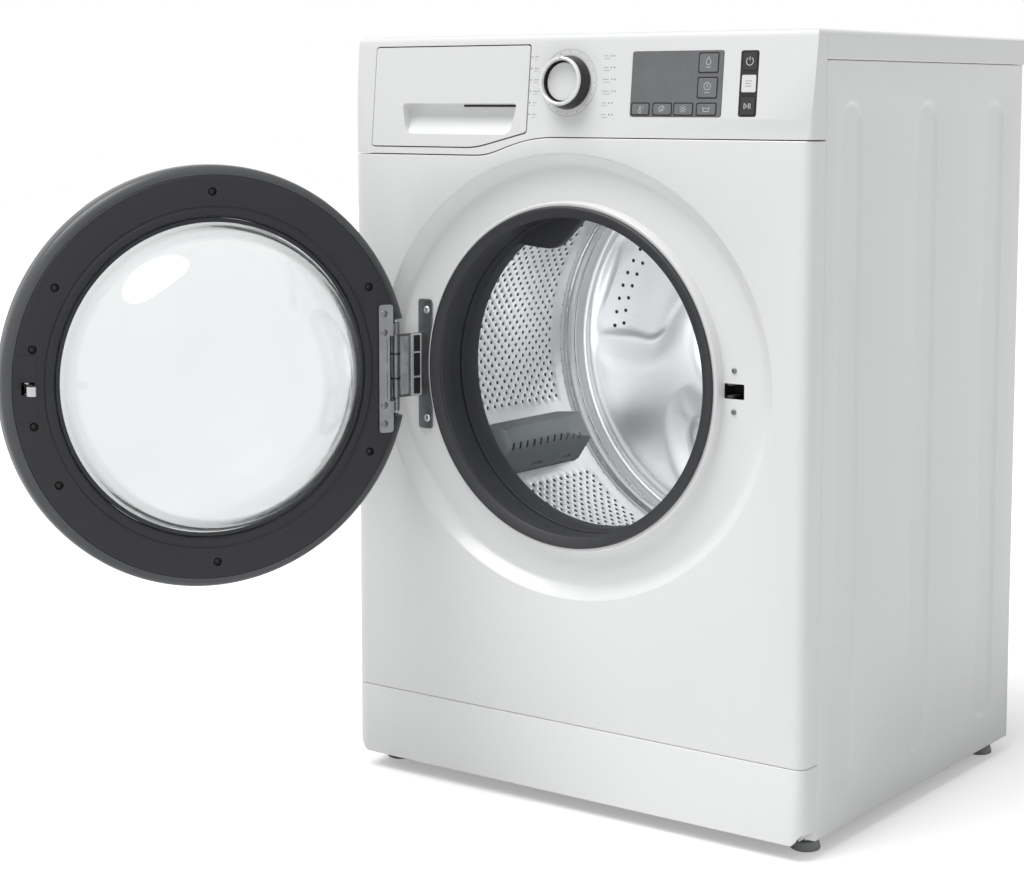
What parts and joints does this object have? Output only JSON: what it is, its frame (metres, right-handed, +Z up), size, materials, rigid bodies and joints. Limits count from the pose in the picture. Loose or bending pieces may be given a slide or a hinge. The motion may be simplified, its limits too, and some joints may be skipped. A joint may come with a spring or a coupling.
{
  "type": "front load washing machine",
  "caption": "White front-load washing machine with a round door open on its left hinge, perforated drum, detergent drawer, selector knob, display and push keys.",
  "frame": {"origin": "middle of the footprint of the whole machine with its door open, on the floor", "axes": "+X to the machine's right as seen from its front, +Y to its back, +Z up"},
  "size_m": [0.7396, 0.9524, 0.85],
  "materials": {
    "white_enamel": "smooth white enamelled steel",
    "white_plastic": "white moulded plastic, satin",
    "dark_plastic": "dark grey moulded plastic, satin",
    "black_plastic": "black plastic, satin",
    "window_plastic": "smoked glossy plastic",
    "grey_plastic": "mid grey plastic",
    "pale_plastic": "pale grey filled polypropylene",
    "grey_rubber": "dark grey elastomer",
    "bright_steel": "bright stainless steel",
    "plain_steel": "zinc coated steel",
    "cast_aluminium": "die cast aluminium",
    "copper_sheath": "tubular element sheath",
    "concrete": "cast concrete ballast",
    "circuit": "printed circuit board with parts",
    "door_glass": "clear moulded glass"
  },
  "bodies": {
    "cabinet": {"worktop": "white_enamel", "control_fascia": "white_plastic", "front_panel": "white_enamel", "kick_plate": "white_plastic", "side_panel_left": "white_enamel", "side_panel_right": "white_enamel", "rear_panel": "plain_steel", "base_frame": "grey_plastic", "foot_front_left": "grey_plastic", "foot_front_right": "grey_plastic", "foot_rear_left": "grey_plastic", "foot_rear_right": "grey_plastic", "dispenser_housing": "pale_plastic", "display_window": "window_plastic", "control_board": "circuit", "hinge_bracket": "plain_steel", "door_lock": "black_plastic", "gasket": "grey_rubber", "tub_front": "pale_plastic", "tub_rear": "pale_plastic", "bearing_front": "plain_steel", "bearing_rear": "plain_steel", "drive_belt": "grey_rubber", "motor": "plain_steel", "counterweight": "concrete", "spring_left": "plain_steel", "spring_right": "plain_steel", "damper_left": "grey_plastic", "damper_right": "grey_plastic", "heater": "copper_sheath", "drain_pump": "pale_plastic", "inlet_valve": "white_plastic"},
    "door": {"door_inner_ring": "dark_plastic", "door_outer_ring": "dark_plastic", "door_glass": "door_glass", "door_cover": "window_plastic", "door_hinge_plate": "bright_steel", "hinge_pin": "bright_steel"},
    "latch": {"latch_hook": "bright_steel"},
    "drum": {"drum_shell": "bright_steel", "drum_back": "bright_steel", "drum_spider": "cast_aluminium", "lifter_1": "grey_plastic", "lifter_2": "grey_plastic", "lifter_3": "grey_plastic", "drum_pulley": "cast_aluminium"},
    "rotor": {"motor_pulley": "bright_steel"},
    "knob": {"knob_body": "black_plastic", "knob_ring": "bright_steel"},
    "drawer": {"drawer_front": "white_plastic", "drawer_tray": "pale_plastic"},
    "option_key_1_body": {"option_key_1": "grey_plastic"},
    "option_key_2_body": {"option_key_2": "grey_plastic"},
    "option_key_3_body": {"option_key_3": "grey_plastic"},
    "option_key_4_body": {"option_key_4": "grey_plastic"},
    "option_key_5_body": {"option_key_5": "grey_plastic"},
    "option_key_6_body": {"option_key_6": "grey_plastic"},
    "start_button_body": {"start_button": "dark_plastic"},
    "option_button_body": {"option_button": "white_plastic"},
    "power_button_body": {"power_button": "dark_plastic"}
  },
  "joints": [
    {"name": "door_hinge", "type": "hinge", "parent": "cabinet", "child": "door", "pos_m": [-0.14568, -0.07583, 0.48], "axis": [0, 0, 1], "range_deg": [-20, 118]},
    {"name": "latch_pivot", "type": "hinge", "parent": "door", "child": "latch", "pos_m": [-0.33185, -0.45365, 0.48], "axis": [0, 0, 1], "range_deg": [0, 10], "stiffness_Nm_per_rad": 0.2},
    {"name": "drum_spin", "type": "hinge", "parent": "cabinet", "child": "drum", "pos_m": [0.07232, 0.19917, 0.48], "axis": [0, 1, 0], "continuous": true},
    {"name": "motor_spin", "type": "hinge", "parent": "cabinet", "child": "rotor", "pos_m": [0.16732, 0.37917, 0.15], "axis": [0, 1, 0], "continuous": true},
    {"name": "knob_turn", "type": "hinge", "parent": "cabinet", "child": "knob", "pos_m": [0.07132, -0.04529, 0.79734], "axis": [0, 0.9954, -0.0958], "continuous": true},
    {"name": "drawer_slide", "type": "slide", "parent": "cabinet", "child": "drawer", "axis": [0, -1, 0], "range_m": [0, 0.2]},
    {"name": "option_key_1_press", "type": "slide", "parent": "cabinet", "child": "option_key_1_body", "axis": [0, 0.9954, -0.0958], "range_m": [0, 0.0012], "stiffness_N_per_m": 400},
    {"name": "option_key_2_press", "type": "slide", "parent": "cabinet", "child": "option_key_2_body", "axis": [0, 0.9954, -0.0958], "range_m": [0, 0.0012], "stiffness_N_per_m": 400},
    {"name": "option_key_3_press", "type": "slide", "parent": "cabinet", "child": "option_key_3_body", "axis": [0, 0.9954, -0.0958], "range_m": [0, 0.0012], "stiffness_N_per_m": 400},
    {"name": "option_key_4_press", "type": "slide", "parent": "cabinet", "child": "option_key_4_body", "axis": [0, 0.9954, -0.0958], "range_m": [0, 0.0012], "stiffness_N_per_m": 400},
    {"name": "option_key_5_press", "type": "slide", "parent": "cabinet", "child": "option_key_5_body", "axis": [0, 0.9954, -0.0958], "range_m": [0, 0.0012], "stiffness_N_per_m": 400},
    {"name": "option_key_6_press", "type": "slide", "parent": "cabinet", "child": "option_key_6_body", "axis": [0, 0.9954, -0.0958], "range_m": [0, 0.0012], "stiffness_N_per_m": 400},
    {"name": "start_button_press", "type": "slide", "parent": "cabinet", "child": "start_button_body", "axis": [0, 0.9954, -0.0958], "range_m": [0, 0.0012], "stiffness_N_per_m": 400},
    {"name": "option_button_press", "type": "slide", "parent": "cabinet", "child": "option_button_body", "axis": [0, 0.9954, -0.0958], "range_m": [0, 0.0012], "stiffness_N_per_m": 400},
    {"name": "power_button_press", "type": "slide", "parent": "cabinet", "child": "power_button_body", "axis": [0, 0.9954, -0.0958], "range_m": [0, 0.0012], "stiffness_N_per_m": 400}
  ],
  "couplings": [
    {"joint": "motor_spin", "follows": "drum_spin", "ratio": 11.667}
  ]
}
